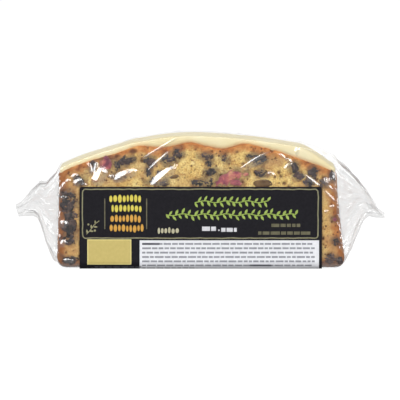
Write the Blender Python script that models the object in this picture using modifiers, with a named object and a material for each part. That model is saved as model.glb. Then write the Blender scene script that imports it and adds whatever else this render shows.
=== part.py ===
"""A slab of marzipan-iced fruit cake in a clear flow-wrap pack with a bent label.

Metres, +Z up. The cut face that carries the label looks towards -Y, and the gathered ends of the pack
point along X. The origin is at the bottom centre of the whole pack, on the surface it stands on.
Four bodies: the cake, the marzipan on top of it, the clear bag round both, and the label outside the bag.
"""
import math

import bmesh
import bpy
from mathutils import Vector

MM = 0.001
COLLECTION_NAME = "fruit_cake_pack"

# Gaps and thin walls
GAP = 0.3 * MM                    # between any two bodies that touch
FILM_WALL = 0.6 * MM
LABEL_THICKNESS = 0.4 * MM

# The slab, seen from the front. X is measured from the middle of its base.
SLAB_DEPTH = 54.0 * MM
BASE_HEIGHT = LABEL_THICKNESS + GAP + FILM_WALL + GAP
LEFT_SIDE_X = -78.8 * MM
LEFT_FOOT_SWELL = 0.9 * MM        # the left side bulges a little just above its foot
LEFT_FOOT_SWELL_HEIGHT = 9.0 * MM
RIGHT_SIDE_TOP_X = 74.1 * MM
RIGHT_SIDE_FLARE = 5.4 * MM       # the right side leans out towards its foot
SIDE_TOP_HEIGHT = 53.0 * MM
FOOT_RADIUS = 4.5 * MM            # of the two lower corners
CRUMB_PEAK_X = -3.0 * MM
CRUMB_PEAK_HEIGHT = 67.6 * MM
CRUMB_DROP = 14.0 * MM            # from the peak down to the two upper corners
CRUMB_DROP_POWER = 2.6
# Lobes of the baked top: where, how high and how wide each one is
CRUMB_LOBES = (
    (-36 * MM, 2.2 * MM, 6.0 * MM),
    (-7 * MM, 2.6 * MM, 5.5 * MM),
    (13 * MM, -1.2 * MM, 5.0 * MM),
    (23 * MM, 2.4 * MM, 6.0 * MM),
    (37 * MM, 1.8 * MM, 8.0 * MM),
)
LOWER_EDGE_RADIUS = 3.0 * MM      # along the front and back of the base
UPPER_EDGE_RADIUS = 0.6 * MM      # along the cut edges of the crumb and of the marzipan

# The outside of the marzipan
ICING_PEAK_X = -6.0 * MM
ICING_PEAK_HEIGHT = 73.3 * MM
ICING_LEFT_DROP = 18.2 * MM
ICING_LEFT_POWER = 1.8
ICING_RIGHT_DROP = 9.8 * MM
ICING_RIGHT_POWER = 1.7
ICING_SHOULDER_X = 54.0 * MM      # right of this the icing turns down more steeply
ICING_SHOULDER_DROP = 9.0 * MM
ICING_SHOULDER_POWER = 1.5
ICING_LEAST_THICKNESS = 1.5 * MM

# The gathered ends of the bag
BAG_UPPER_RADIUS = 1.8 * MM
BAG_LOWER_RADIUS = LOWER_EDGE_RADIUS + GAP + FILM_WALL
BAG_FOOT_RADIUS = FOOT_RADIUS + GAP + FILM_WALL
BAG_BOTTOM = LABEL_THICKNESS + GAP
LEFT_TOP_START_X = -78.8 * MM               # where the top of the film leaves the icing
LEFT_TOP_END = (-101.0 * MM, 30.2 * MM)     # where it meets the sealed tail
LEFT_TOP_FULLNESS = 1.15
LIFT_OFF_DEGREES = 62.0                     # slope of the film where it leaves a lower corner
LEFT_NECK = (-92.0 * MM, 28.3 * MM)         # where the bottom of the film meets the tail
LEFT_TAIL_X = -103.0 * MM
RIGHT_TOP_START_X = 50.0 * MM                # where the top of the film leaves the icing
RIGHT_TOP_END = (95.5 * MM, 31.4 * MM)
RIGHT_TOP_FULLNESS = 1.7
RIGHT_NECK = (90.0 * MM, 29.0 * MM)
RIGHT_TAIL_X = 98.5 * MM
NECK_FULLNESS = 1.05
TAIL_THICKNESS = 1.0 * MM
TAIL_HALF_WIDTH = 26.5 * MM
LEFT_TAIL_SKEW = -1.4 * MM        # how far the back corner of the tail lies beyond its middle
LEFT_TAIL_TILT = 0.9 * MM         # and how far above it
RIGHT_TAIL_SKEW = -3.0 * MM
RIGHT_TAIL_TILT = 1.2 * MM
GUSSET_DEPTH = 9.0 * MM           # how far the sides tuck in between the slab and the tail
PLEATS_ROUND = 12
PLEAT_HEIGHT = 2.0 * MM           # from the crest of a pleat down into its furrow
VENT_RADIUS = 0.6 * MM            # a pinhole in the back of the film
VENT_HEIGHT = 34.0 * MM

# The label
LABEL_LEFT_X = -67.8 * MM
LABEL_RIGHT_X = 66.6 * MM
LABEL_TOP = 45.7 * MM
LABEL_BACK_MARGIN = 8.0 * MM      # between the label's rear edge and the back of the bag
LABEL_CORNER_RADIUS = 1.5 * MM

# How finely the round parts are cut
OUTLINE_STEP = 3.2 * MM
CORNER_STEPS = 4
WALL_STEPS = 8                    # rows of points on each flat side of the bag's sections
SLAB_STATIONS = 16
END_STATIONS = 8
FOOT_STATIONS = 4

# The pack's own middle: the bag's ends and the label aren't symmetric about the slab
BAG_HALF_DEPTH = SLAB_DEPTH / 2 + GAP + FILM_WALL
SLAB_CENTRE_X = -(LEFT_TAIL_X + LEFT_TAIL_SKEW + RIGHT_TAIL_X - RIGHT_TAIL_SKEW) / 2
SLAB_CENTRE_Y = (GAP + LABEL_THICKNESS) / 2


# ---------------------------------------------------------------- outlines of the slab

def crumb_top(x):
    """Height of the baked top of the cake."""
    left_span = CRUMB_PEAK_X - LEFT_SIDE_X
    right_span = RIGHT_SIDE_TOP_X - CRUMB_PEAK_X
    span = left_span if x < CRUMB_PEAK_X else right_span
    height = CRUMB_PEAK_HEIGHT - CRUMB_DROP * (abs(x - CRUMB_PEAK_X) / span) ** CRUMB_DROP_POWER
    for centre, rise, width in CRUMB_LOBES:
        height += rise * math.exp(-0.5 * ((x - centre) / width) ** 2)
    return height


def icing_top(x):
    """Height of the outside of the marzipan."""
    if x < ICING_PEAK_X:
        reach = (ICING_PEAK_X - x) / (ICING_PEAK_X - LEFT_SIDE_X)
        height = ICING_PEAK_HEIGHT - ICING_LEFT_DROP * reach ** ICING_LEFT_POWER
    else:
        reach = (x - ICING_PEAK_X) / (RIGHT_SIDE_TOP_X - ICING_PEAK_X)
        height = ICING_PEAK_HEIGHT - ICING_RIGHT_DROP * reach ** ICING_RIGHT_POWER
    if x > ICING_SHOULDER_X:
        past = (x - ICING_SHOULDER_X) / (RIGHT_SIDE_TOP_X - ICING_SHOULDER_X)
        height -= ICING_SHOULDER_DROP * past ** ICING_SHOULDER_POWER
    return max(height, crumb_top(x) + GAP + ICING_LEAST_THICKNESS)


def left_side(z):
    """X of the left end of the cake at a height."""
    swell = math.exp(-0.5 * ((z - LEFT_FOOT_SWELL_HEIGHT) / LEFT_FOOT_SWELL_HEIGHT) ** 2)
    return LEFT_SIDE_X - LEFT_FOOT_SWELL * swell


def right_side(z):
    """X of the right end of the cake at a height."""
    down = max(0.0, (SIDE_TOP_HEIGHT - z) / SIDE_TOP_HEIGHT)
    return RIGHT_SIDE_TOP_X + RIGHT_SIDE_FLARE * down ** 1.4


def stretch(start, end, step=OUTLINE_STEP):
    """Evenly spaced values from start to end, both included."""
    count = max(1, round(abs(end - start) / step))
    return [start + (end - start) * i / count for i in range(count + 1)]


def foot_arc(corner_x, inward):
    """The rounded lower corner of the slab, from its side down to its base."""
    centre_x = corner_x + inward * FOOT_RADIUS
    centre_z = BASE_HEIGHT + FOOT_RADIUS
    points = []
    for i in range(CORNER_STEPS + 1):
        angle = math.pi / 2 * i / CORNER_STEPS
        points.append((centre_x - inward * FOOT_RADIUS * math.cos(angle),
                       centre_z - FOOT_RADIUS * math.sin(angle)))
    return points


def lower_outline():
    """Left side, base and right side of the slab, downwards and then up again."""
    foot_top = BASE_HEIGHT + FOOT_RADIUS
    left = [(left_side(z), z) for z in stretch(SIDE_TOP_HEIGHT, foot_top, 3 * OUTLINE_STEP)]
    left_foot = foot_arc(left_side(foot_top), 1)
    right_foot = foot_arc(right_side(foot_top), -1)
    right = [(right_side(z), z) for z in stretch(foot_top, SIDE_TOP_HEIGHT, 3 * OUTLINE_STEP)]
    return left + left_foot[1:] + right_foot[::-1] + right[1:]


def cake_outline():
    """The cut face of the cake."""
    top = [(x, crumb_top(x)) for x in stretch(RIGHT_SIDE_TOP_X, LEFT_SIDE_X)]
    return lower_outline() + top[1:-1]


def marzipan_outline():
    """The cut face of the marzipan: its wavy underside follows the cake."""
    xs = stretch(LEFT_SIDE_X, RIGHT_SIDE_TOP_X)
    underside = [(x, crumb_top(x) + GAP) for x in xs]
    outside = [(x, icing_top(x)) for x in reversed(xs)]
    return underside + outside


def slab_outline():
    """The cut face of cake and marzipan together."""
    top = [(x, icing_top(x)) for x in stretch(RIGHT_SIDE_TOP_X, LEFT_SIDE_X)]
    return lower_outline() + top


def grown(outline, distance):
    """A closed outline that runs counter-clockwise, moved outwards by a distance."""
    points = []
    count = len(outline)
    for i, (x, z) in enumerate(outline):
        before = Vector((x, z)) - Vector(outline[i - 1])
        after = Vector(outline[(i + 1) % count]) - Vector((x, z))
        outward = Vector((before.y, -before.x)).normalized() + Vector((after.y, -after.x)).normalized()
        outward.normalize()
        turn = before.normalized().dot(after.normalized())
        reach = distance / max(0.5, math.sqrt((1 + turn) / 2))
        points.append((x + outward.x * reach, z + outward.y * reach))
    return points


# ---------------------------------------------------------------- building blocks

def empty_scene():
    for obj in list(bpy.data.objects):
        bpy.data.objects.remove(obj, do_unlink=True)


def new_collection(name):
    collection = bpy.data.collections.new(name)
    bpy.context.scene.collection.children.link(collection)
    return collection


def material(name, colour, roughness, alpha=1.0):
    mat = bpy.data.materials.new(name)
    mat.use_nodes = True
    shader = mat.node_tree.nodes["Principled BSDF"]
    shader.inputs["Base Color"].default_value = (*colour, 1.0)
    shader.inputs["Roughness"].default_value = roughness
    shader.inputs["Metallic"].default_value = 0.0
    shader.inputs["Alpha"].default_value = alpha
    return mat


def link_mesh(name, bm, mat, collection):
    mesh = bpy.data.meshes.new(name)
    bm.to_mesh(mesh)
    bm.free()
    mesh.materials.append(mat)
    obj = bpy.data.objects.new(name, mesh)
    obj.location = (SLAB_CENTRE_X, SLAB_CENTRE_Y, 0)
    collection.objects.link(obj)
    return obj


def slab(name, outline, half_depth, lower_radius, upper_radius, mat, collection):
    """A front outline pushed through the depth of the slab, with its cut edges rounded."""
    bm = bmesh.new()
    front = bm.faces.new([bm.verts.new((x, -half_depth, z)) for x, z in outline])
    back = bmesh.ops.extrude_face_region(bm, geom=[front])
    moved = [item for item in back["geom"] if isinstance(item, bmesh.types.BMVert)]
    bmesh.ops.translate(bm, verts=moved, vec=(0, 2 * half_depth, 0))
    bmesh.ops.recalc_face_normals(bm, faces=bm.faces)
    weight = bm.edges.layers.float.new("bevel_weight_edge")
    widest = max(lower_radius, upper_radius)
    for edge in bm.edges:
        along_rim = abs(edge.verts[0].co.y - edge.verts[1].co.y) < GAP
        if along_rim:
            low = max(vert.co.z for vert in edge.verts) < BASE_HEIGHT + FOOT_RADIUS
            edge[weight] = (lower_radius if low else upper_radius) / widest
    obj = link_mesh(name, bm, mat, collection)
    bevel = obj.modifiers.new("cut edges", "BEVEL")
    bevel.limit_method = "WEIGHT"
    bevel.width = widest
    bevel.segments = 3
    bevel.use_clamp_overlap = False
    return obj


def cut(target, cutter):
    boolean = target.modifiers.new("cut", "BOOLEAN")
    boolean.operation = "DIFFERENCE"
    boolean.object = cutter
    cutter.hide_render = True
    cutter.display_type = "WIRE"


# ---------------------------------------------------------------- the bag

def foot_centre(side):
    """X of the centre of a lower corner: side is -1 for the left one and 1 for the right one."""
    foot_top = BASE_HEIGHT + FOOT_RADIUS
    corner = left_side(foot_top) if side < 0 else right_side(foot_top)
    return corner - side * FOOT_RADIUS


def over_slab(x):
    """Height of the film where it lies on the icing."""
    return icing_top(max(LEFT_SIDE_X, min(x, RIGHT_SIDE_TOP_X))) + GAP + FILM_WALL


def full_curve(x, start, end, fullness):
    """Height of a film edge that runs down from start to end: 1 is straight, more bulges outwards."""
    across = min(1.0, max(0.0, (x - start[0]) / (end[0] - start[0])))
    return end[1] + (start[1] - end[1]) * (1 - across ** fullness) ** (1 / fullness)


def bag_top(x):
    """Height of the top of the film, pleats left out."""
    if x < LEFT_TOP_START_X:
        start = (LEFT_TOP_START_X, over_slab(LEFT_TOP_START_X))
        return full_curve(x, start, LEFT_TOP_END, LEFT_TOP_FULLNESS)
    if x > RIGHT_TOP_START_X:
        start = (RIGHT_TOP_START_X, over_slab(RIGHT_TOP_START_X))
        bulge = full_curve(x, start, RIGHT_TOP_END, RIGHT_TOP_FULLNESS)
        return max(bulge, over_slab(x)) if x < RIGHT_SIDE_TOP_X else bulge
    return over_slab(x)


def bag_bottom(x):
    """Height of the underside of the film: flat, round a lower corner, and up to the neck."""
    side = -1 if x < 0 else 1
    neck = LEFT_NECK if x < 0 else RIGHT_NECK
    past = side * (x - foot_centre(side))
    if past < 0:
        return BAG_BOTTOM
    lift_off = BAG_FOOT_RADIUS * math.sin(math.radians(LIFT_OFF_DEGREES))
    if past < lift_off:
        return BAG_BOTTOM + BAG_FOOT_RADIUS - math.sqrt(BAG_FOOT_RADIUS ** 2 - past ** 2)
    start = BAG_BOTTOM + BAG_FOOT_RADIUS * (1 - math.cos(math.radians(LIFT_OFF_DEGREES)))
    across = min(1.0, (past - lift_off) / (side * (neck[0] - foot_centre(side)) - lift_off))
    return start + (neck[1] - start) * across ** NECK_FULLNESS


def section_ring():
    """Points round a square section: where each lies on the square, and which way it faces."""
    ring = []
    corners = ((1, 1), (-1, 1), (-1, -1), (1, -1))
    for index, (across, up) in enumerate(corners):
        next_across, next_up = corners[(index + 1) % 4]
        for i in range(CORNER_STEPS + 1):
            angle = math.pi / 2 * (index + i / CORNER_STEPS)
            ring.append((across, up, math.cos(angle), math.sin(angle)))
        for i in range(1, WALL_STEPS):
            part = i / WALL_STEPS
            ring.append((across + (next_across - across) * part, up + (next_up - up) * part,
                         math.cos(angle), math.sin(angle)))
    return ring


def bag_section(x, ring):
    """The points of one section of the bag, square to X."""
    side = -1 if x < 0 else 1
    tail_x, skew, tilt = (LEFT_TAIL_X, LEFT_TAIL_SKEW, LEFT_TAIL_TILT)
    if side > 0:
        tail_x, skew, tilt = (RIGHT_TAIL_X, RIGHT_TAIL_SKEW, RIGHT_TAIL_TILT)
    lift_off = foot_centre(side) + side * BAG_FOOT_RADIUS
    along = min(1.0, max(0.0, (x - lift_off) / (tail_x - lift_off)))
    bottom = bag_bottom(x)
    top = max(bag_top(x), bottom + TAIL_THICKNESS)
    half_height = (top - bottom) / 2
    half_width = BAG_HALF_DEPTH + (TAIL_HALF_WIDTH - BAG_HALF_DEPTH) * along
    tuck = GUSSET_DEPTH * math.sin(math.pi * along) ** 2
    pleat = PLEAT_HEIGHT * math.sin(math.pi * along) * min(1.0, half_height / (8 * PLEAT_HEIGHT))
    points = []
    for index, (across, up, normal_y, normal_z) in enumerate(ring):
        radius = min(BAG_UPPER_RADIUS if up > 0 else BAG_LOWER_RADIUS, 0.9 * half_height)
        ripple = pleat * (math.sin(2 * math.pi * PLEATS_ROUND * index / len(ring)) - 1) / 2
        y = across * (half_width - radius) + normal_y * (radius + ripple)
        y -= normal_y * tuck * (1 - up ** 2)
        z = bottom + half_height + up * (half_height - radius) + normal_z * (radius + ripple)
        lean = along ** 2 * y / TAIL_HALF_WIDTH
        points.append((x + skew * lean, y, z + tilt * lean))
    return points


def bag_stations():
    """X of every section of the bag, from the left tail to the right one."""
    left_foot = foot_centre(-1)
    right_foot = foot_centre(1)
    turns = [math.sin(math.radians(LIFT_OFF_DEGREES) * i / FOOT_STATIONS) for i in range(FOOT_STATIONS + 1)]
    left_corner = [left_foot - BAG_FOOT_RADIUS * turn for turn in reversed(turns)]
    right_corner = [right_foot + BAG_FOOT_RADIUS * turn for turn in turns]
    left = stretch(LEFT_TAIL_X, left_corner[0], (left_corner[0] - LEFT_TAIL_X) / END_STATIONS)
    middle = stretch(left_foot, right_foot, (right_foot - left_foot) / SLAB_STATIONS)
    right = stretch(right_corner[-1], RIGHT_TAIL_X, (RIGHT_TAIL_X - right_corner[-1]) / END_STATIONS)
    return left[:-1] + left_corner + middle[1:-1] + right_corner + right[1:]


def bag(mat, parts, cutters):
    """The clear film: lofted over the slab and its gathered ends, hollow where the slab lies."""
    ring = section_ring()
    bm = bmesh.new()
    sections = [[bm.verts.new(point) for point in bag_section(x, ring)] for x in bag_stations()]
    count = len(ring)
    for here, there in zip(sections, sections[1:]):
        for i in range(count):
            following = (i + 1) % count
            bm.faces.new((here[i], here[following], there[following], there[i]))
    bm.faces.new(reversed(sections[0]))
    bm.faces.new(sections[-1])
    bmesh.ops.recalc_face_normals(bm, faces=bm.faces)
    film = link_mesh("bag", bm, mat, parts)

    hollow = slab("hollow", grown(slab_outline(), GAP), SLAB_DEPTH / 2 + GAP,
                  LOWER_EDGE_RADIUS + GAP, UPPER_EDGE_RADIUS + GAP, mat, cutters)
    cut(film, hollow)

    bm = bmesh.new()
    bmesh.ops.create_cone(bm, cap_ends=True, segments=12, radius1=VENT_RADIUS, radius2=VENT_RADIUS,
                          depth=10 * FILM_WALL)
    vent = link_mesh("vent", bm, mat, cutters)
    vent.rotation_euler = (math.pi / 2, 0, 0)
    vent.location = (SLAB_CENTRE_X, SLAB_CENTRE_Y + BAG_HALF_DEPTH, VENT_HEIGHT)
    cut(film, vent)
    return film


# ---------------------------------------------------------------- the label

def label_profile():
    """The outside of the label from the side: down the front, round the lower edge, back under the base."""
    front_y = -(BAG_HALF_DEPTH + GAP + LABEL_THICKNESS)
    bend = BAG_LOWER_RADIUS + GAP + LABEL_THICKNESS
    steps = 2 * CORNER_STEPS
    points = [(front_y, LABEL_TOP)]
    for i in range(steps + 1):
        angle = math.pi / 2 * i / steps
        points.append((front_y + bend * (1 - math.cos(angle)), bend * (1 - math.sin(angle))))
    points.append((BAG_HALF_DEPTH - LABEL_BACK_MARGIN, 0.0))
    return points


def label(mat, collection):
    """A sheet on the front of the bag that bends round the lower edge and runs back under the base."""
    bm = bmesh.new()
    left = [bm.verts.new((LABEL_LEFT_X, y, z)) for y, z in label_profile()]
    right = [bm.verts.new((LABEL_RIGHT_X, y, z)) for y, z in label_profile()]
    for i in range(len(left) - 1):
        bm.faces.new((left[i], left[i + 1], right[i + 1], right[i]))
    corners = [left[0], left[-1], right[0], right[-1]]
    bmesh.ops.bevel(bm, geom=corners, offset=LABEL_CORNER_RADIUS, segments=3, profile=0.5, affect="VERTICES")
    sheet = link_mesh("label", bm, mat, collection)
    thickness = sheet.modifiers.new("thickness", "SOLIDIFY")
    thickness.thickness = LABEL_THICKNESS
    thickness.offset = -1.0
    thickness.use_even_offset = True
    return sheet


def main():
    empty_scene()
    parts = new_collection(COLLECTION_NAME)
    cutters = new_collection("cutters")
    crumb = material("crumb", (0.62, 0.36, 0.14), 0.85)
    marzipan = material("marzipan", (0.88, 0.76, 0.45), 0.55)
    film = material("film", (0.90, 0.92, 0.94), 0.10, alpha=0.25)
    print_black = material("label_print", (0.02, 0.02, 0.03), 0.40)
    slab("cake", cake_outline(), SLAB_DEPTH / 2, LOWER_EDGE_RADIUS, UPPER_EDGE_RADIUS, crumb, parts)
    slab("marzipan", marzipan_outline(), SLAB_DEPTH / 2, UPPER_EDGE_RADIUS, UPPER_EDGE_RADIUS,
         marzipan, parts)
    bag(film, parts, cutters)
    label(print_black, parts)


main()
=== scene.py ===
"""Looks of a marzipan-iced fruit cake slab in a clear flow-wrap pack.

Metres, +Z up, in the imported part's own frame: the labelled cut face looks towards -Y.
"""
import math
import random

import bmesh
import bpy
import numpy as np
from mathutils import Matrix, Vector, kdtree, noise
from mathutils.bvhtree import BVHTree


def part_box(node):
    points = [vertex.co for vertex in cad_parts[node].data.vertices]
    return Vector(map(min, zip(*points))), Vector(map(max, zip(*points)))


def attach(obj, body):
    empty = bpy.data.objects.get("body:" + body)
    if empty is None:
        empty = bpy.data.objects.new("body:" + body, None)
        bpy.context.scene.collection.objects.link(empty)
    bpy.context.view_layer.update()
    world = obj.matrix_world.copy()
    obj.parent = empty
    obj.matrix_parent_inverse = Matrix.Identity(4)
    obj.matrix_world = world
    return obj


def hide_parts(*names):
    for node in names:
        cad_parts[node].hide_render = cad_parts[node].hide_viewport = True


MM = 0.001
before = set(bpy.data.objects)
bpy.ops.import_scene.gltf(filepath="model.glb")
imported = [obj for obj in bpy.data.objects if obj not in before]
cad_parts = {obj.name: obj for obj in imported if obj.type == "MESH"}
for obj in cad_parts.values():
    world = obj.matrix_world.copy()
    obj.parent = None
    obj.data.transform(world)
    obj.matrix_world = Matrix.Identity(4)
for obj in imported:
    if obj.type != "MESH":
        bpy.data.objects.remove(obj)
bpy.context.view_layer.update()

CAKE_LOW, CAKE_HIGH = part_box("cake")
ICING_LOW, ICING_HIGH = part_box("marzipan")
BAG_LOW, BAG_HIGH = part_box("bag")
LABEL_LOW, LABEL_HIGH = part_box("label")

# How far the visible surfaces lie from the CAD ones, which stand a gap apart
CAKE_SWELL = 0.5 * MM
CRUMB_VOXEL = 0.7 * MM
ICING_VOXEL = 0.9 * MM
ICING_SINK = 0.5 * MM
ICING_OVERHANG = 1.5 * MM

FRONT_Y = CAKE_LOW.y - CAKE_SWELL     # the front cut face as it is seen
BACK_Y = CAKE_HIGH.y + CAKE_SWELL


# ---------------------------------------------------------------- tools

def node_tree(node):
    """A tree to shoot rays at, of one CAD node."""
    return BVHTree.FromObject(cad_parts[node], bpy.context.evaluated_depsgraph_get())


TREES = {name: node_tree(name) for name in ("cake", "marzipan", "bag", "label")}


def hit(node, start, direction):
    point = TREES[node].ray_cast(Vector(start), Vector(direction))[0]
    return point


def add_object(name, mesh, mat, smooth=True):
    mesh.materials.clear()
    mesh.materials.append(mat)
    obj = bpy.data.objects.new(name, mesh)
    bpy.context.scene.collection.objects.link(obj)
    if smooth:
        mesh.shade_smooth()
    return obj


def piece(obj, slot, *replaced):
    """Rides on the pack's one body and stands for CAD nodes; the slot is not used."""
    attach(obj, "root")
    if replaced:
        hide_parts(*replaced)
    return obj


def mesh_from(name, points, faces):
    mesh = bpy.data.meshes.new(name)
    mesh.from_pydata([tuple(p) for p in points], [], [tuple(f) for f in faces])
    mesh.update()
    return mesh


def coordinates(mesh):
    co = np.empty(len(mesh.vertices) * 3)
    mesh.vertices.foreach_get("co", co)
    return co.reshape(-1, 3)


def normals(mesh):
    no = np.empty(len(mesh.vertices) * 3)
    mesh.vertices.foreach_get("normal", no)
    return no.reshape(-1, 3)


def set_coordinates(mesh, co):
    mesh.vertices.foreach_set("co", co.reshape(-1))
    mesh.update()


def store(mesh, name, values):
    """Keeps one number per vertex for the material to read."""
    attribute = mesh.attributes.new(name, "FLOAT", "POINT")
    attribute.data.foreach_set("value", np.asarray(values, dtype=np.float32))


def fractal(points, size, octaves, offset=0.0):
    """Fractal noise, about -1 to 1, at each point; size is its largest wavelength."""
    shift = Vector((offset, offset * 0.7, -offset))
    return np.array([noise.fractal(Vector(p) / size + shift, 1.0, 2.0, octaves) for p in points])


def smoothstep(low, high, value):
    t = np.clip((value - low) / (high - low), 0, 1)
    return t * t * (3 - 2 * t)


def remeshed_copy(node, voxel, rounding):
    """The CAD node's shape as an even grid of small faces, with its edges rounded by smoothing."""
    obj = bpy.data.objects.new("remesh_" + node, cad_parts[node].data.copy())
    bpy.context.scene.collection.objects.link(obj)
    remesh = obj.modifiers.new("even", "REMESH")
    remesh.mode = "VOXEL"
    remesh.voxel_size = voxel
    smooth = obj.modifiers.new("rounded", "SMOOTH")
    smooth.factor = 0.5
    smooth.iterations = rounding
    evaluated = obj.evaluated_get(bpy.context.evaluated_depsgraph_get())
    mesh = bpy.data.meshes.new_from_object(evaluated)
    bpy.data.objects.remove(obj, do_unlink=True)
    return mesh


# ---------------------------------------------------------------- shader helpers

class Shader:
    """A material with short calls for its nodes."""

    def __init__(self, name):
        self.material = bpy.data.materials.new(name)
        self.material.use_nodes = True
        self.tree = self.material.node_tree
        self.tree.nodes.clear()
        self.output = self.tree.nodes.new("ShaderNodeOutputMaterial")

    def add(self, kind, inputs=None, **settings):
        node = self.tree.nodes.new("ShaderNode" + kind)
        for key, value in settings.items():
            setattr(node, key, value)
        for key, value in (inputs or {}).items():
            if isinstance(value, bpy.types.NodeSocket):
                self.tree.links.new(value, node.inputs[key])
            else:
                node.inputs[key].default_value = value
        return node

    def surface(self, socket):
        self.tree.links.new(socket, self.output.inputs["Surface"])
        return self.material

    def principled(self, **inputs):
        names = {key.replace("_", " "): value for key, value in inputs.items()}
        return self.surface(self.add("BsdfPrincipled", names).outputs[0])

    def position(self):
        return self.add("TexCoord").outputs["Object"]

    def value(self, attribute):
        return self.add("Attribute", attribute_name=attribute).outputs["Fac"]

    def noise(self, scale, detail=3.0, roughness=0.5, distortion=0.0, vector=None):
        inputs = {"Vector": vector or self.position(), "Scale": scale, "Detail": detail,
                  "Roughness": roughness, "Distortion": distortion}
        return self.add("TexNoise", inputs).outputs["Fac"]

    def voronoi(self, scale, feature="F1", vector=None):
        inputs = {"Vector": vector or self.position(), "Scale": scale}
        return self.add("TexVoronoi", inputs, feature=feature).outputs["Distance"]

    def ramp(self, factor, stops):
        """Stops are (position, colour or grey)."""
        node = self.add("ValToRGB", {"Fac": factor})
        elements = node.color_ramp.elements
        while len(elements) < len(stops):
            elements.new(0.5)
        for element, (position, colour) in zip(elements, stops):
            element.position = position
            element.color = rgba(colour)
        return node.outputs["Color"]

    def blend(self, factor, first, second, mode="MIX"):
        node = self.add("Mix", {0: factor}, data_type="RGBA", blend_type=mode)
        for index, value in ((6, first), (7, second)):
            if isinstance(value, bpy.types.NodeSocket):
                self.tree.links.new(value, node.inputs[index])
            else:
                node.inputs[index].default_value = rgba(value)
        return node.outputs[2]

    def math(self, operation, first, second):
        return self.add("Math", {0: first, 1: second}, operation=operation).outputs[0]

    def bump(self, height, strength, distance, normal=None):
        inputs = {"Height": height, "Strength": strength, "Distance": distance}
        if normal:
            inputs["Normal"] = normal
        return self.add("Bump", inputs).outputs[0]


def rgba(colour):
    """A colour given as sRGB values from 0 to 255, or a grey from 0 to 1 as it is."""
    if isinstance(colour, (int, float)):
        return (colour, colour, colour, 1.0)
    linear = [((c / 255 + 0.055) / 1.055) ** 2.4 if c > 10 else c / 255 / 12.92 for c in colour]
    return (*linear, 1.0)


# ---------------------------------------------------------------- the cake

# Fruit on the front cut face: middle x and z, width, height (mm), and tilt (degrees)
RAISINS = (
    (-66.3, 49.2, 6.4, 4.8, -20), (-58.8, 57.3, 4.0, 5.4, 10), (-45.3, 57.6, 3.6, 4.8, 20),
    (-39.7, 60.2, 10.4, 4.6, 5), (-45.8, 51.0, 4.4, 3.4, 0), (-26.7, 59.4, 6.8, 4.8, 20),
    (-17.5, 60.6, 8.4, 4.2, 12), (-12.0, 64.2, 5.0, 6.0, 10), (-28.2, 53.6, 3.0, 6.4, 10),
    (-22.0, 53.4, 3.4, 3.6, 0), (-26.1, 48.8, 5.6, 3.6, 0), (-19.5, 47.4, 6.6, 2.8, 0),
    (-0.2, 47.6, 6.8, 3.6, 0), (4.6, 62.4, 7.0, 4.4, -15), (5.4, 58.4, 3.0, 5.2, 0),
    (6.8, 54.2, 6.8, 4.6, 10), (13.8, 61.4, 4.0, 4.0, 0), (5.6, 47.9, 5.8, 4.8, 20),
    (29.8, 61.8, 6.6, 4.0, 15), (33.9, 60.4, 8.4, 4.4, 30), (34.2, 53.2, 6.6, 4.2, 0),
    (53.1, 56.2, 4.4, 6.0, 25), (55.4, 51.6, 5.6, 6.2, 20), (63.2, 54.0, 6.4, 5.4, 15),
    (60.3, 47.6, 6.2, 4.2, 0), (68.4, 47.4, 4.6, 3.8, 0), (73.4, 51.4, 3.4, 6.2, 0),
    (-73.2, 40.8, 8.8, 6.2, 10), (-72.2, 35.8, 10.0, 9.4, 0), (-71.6, 29.2, 7.2, 6.6, 0),
    (-72.0, 22.4, 8.2, 8.2, 10), (-73.4, 17.0, 8.0, 6.2, 0), (-71.6, 5.0, 8.6, 4.2, 0),
    (76.0, 15.0, 4.0, 4.6, 0), (72.8, 5.4, 6.8, 4.6, 0), (77.4, 4.9, 3.8, 3.4, 0),
)
CHERRIES = (
    (-51.6, 57.8, 7.0, 7.8, 0), (14.2, 49.6, 14.4, 6.4, 24), (19.8, 52.4, 8.6, 3.8, 10),
    (20.0, 48.0, 6.8, 3.6, 0), (25.9, 52.6, 3.2, 2.2, 0), (75.0, 27.6, 2.6, 2.0, 0),
)
# Holes in the front cut face, by the same columns: no hollow is cut, the crumb is only darkened there as painted shade
SHADED_HOLES = (
    (-36.4, 65.1, 4.4, 2.0, 0), (24.2, 58.5, 2.4, 2.2, 0), (42.0, 51.2, 1.6, 1.4, 0), (-45.4, 62.6, 1.8, 1.2, 0),
    (69.8, 50.6, 2.2, 2.0, 0), (21.0, 65.0, 2.2, 1.2, 0), (-2.0, 66.4, 1.6, 1.2, 0), (48.6, 61.4, 2.0, 1.4, 0),
)
PEEL = ((35.2, 47.4, 10.4, 4.8, 0), (-13.8, 51.2, 5.6, 2.2, 10))
BACK_COUNTS = {"raisin": 78, "cherry": 9, "peel": 6}
PORES_A_FACE = 300
STAIN_REACH = 1.6 * MM


def outline_points():
    """Points along the uncut skin of the cake, seen from the front: top, ends and base."""
    points = []
    for x in np.arange(CAKE_LOW.x + 1 * MM, CAKE_HIGH.x, 1.5 * MM):
        for start, direction in ((1, -1), (-1, 1)):
            point = hit("cake", (x, 0, start), (0, 0, direction))
            if point:
                points.append((point.x, point.z))
    for z in np.arange(CAKE_LOW.z + 1 * MM, CAKE_HIGH.z, 1.5 * MM):
        for start, direction in ((1, -1), (-1, 1)):
            point = hit("cake", (start, 0, z), (direction, 0, 0))
            if point:
                points.append((point.x, point.z))
    return points


def skin_tree():
    points = outline_points()
    tree = kdtree.KDTree(len(points))
    for index, (x, z) in enumerate(points):
        tree.insert((x, 0, z), index)
    tree.balance()
    return tree


SKIN = skin_tree()


def skin_depth(x, z):
    """How far a point of a cut face lies from the uncut skin."""
    return SKIN.find((x, 0, z))[2]


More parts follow.
